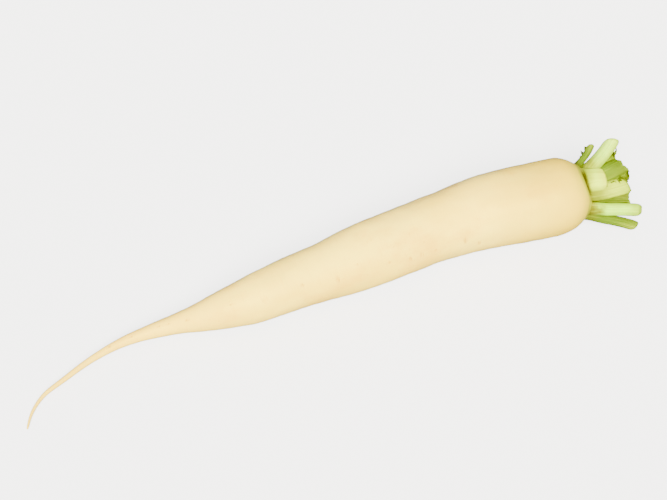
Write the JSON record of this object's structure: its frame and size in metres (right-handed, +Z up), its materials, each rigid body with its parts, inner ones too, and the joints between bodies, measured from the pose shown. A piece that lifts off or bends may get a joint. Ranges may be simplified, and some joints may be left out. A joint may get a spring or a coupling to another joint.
{
  "type": "daikon radish",
  "caption": "Long white daikon radish lying on its side, with a thin curling tail and short cut leaf stalks on its crown.",
  "frame": {"origin": "on the surface that the root lies on, at the flat spot under its weight", "axes": "+X along the root towards the crown with its leaf stalks, -X towards the thin tail, +Z up away from the surface"},
  "size_m": [0.4894, 0.0865, 0.0743],
  "materials": {
    "root_skin": "smooth cream-white root skin with a faint soft sheen",
    "leaf_stalk": "smooth pale yellow-green leaf stalk, slightly waxy",
    "heart_leaf": "fresh green young leaf stalk, slightly waxy"
  },
  "bodies": {
    "root": {"taproot": "root_skin", "leaf_stalk_01": "leaf_stalk", "leaf_stalk_02": "leaf_stalk", "leaf_stalk_03": "leaf_stalk", "leaf_stalk_04": "leaf_stalk", "leaf_stalk_05": "leaf_stalk", "leaf_stalk_06": "leaf_stalk", "leaf_stalk_07": "leaf_stalk", "leaf_stalk_08": "leaf_stalk", "leaf_stalk_09": "leaf_stalk", "leaf_stalk_10": "leaf_stalk", "leaf_stalk_11": "leaf_stalk", "leaf_stalk_12": "leaf_stalk", "leaf_stalk_13": "leaf_stalk", "leaf_stalk_14": "leaf_stalk", "heart_leaves": "heart_leaf"}
  },
  "joints": []
}
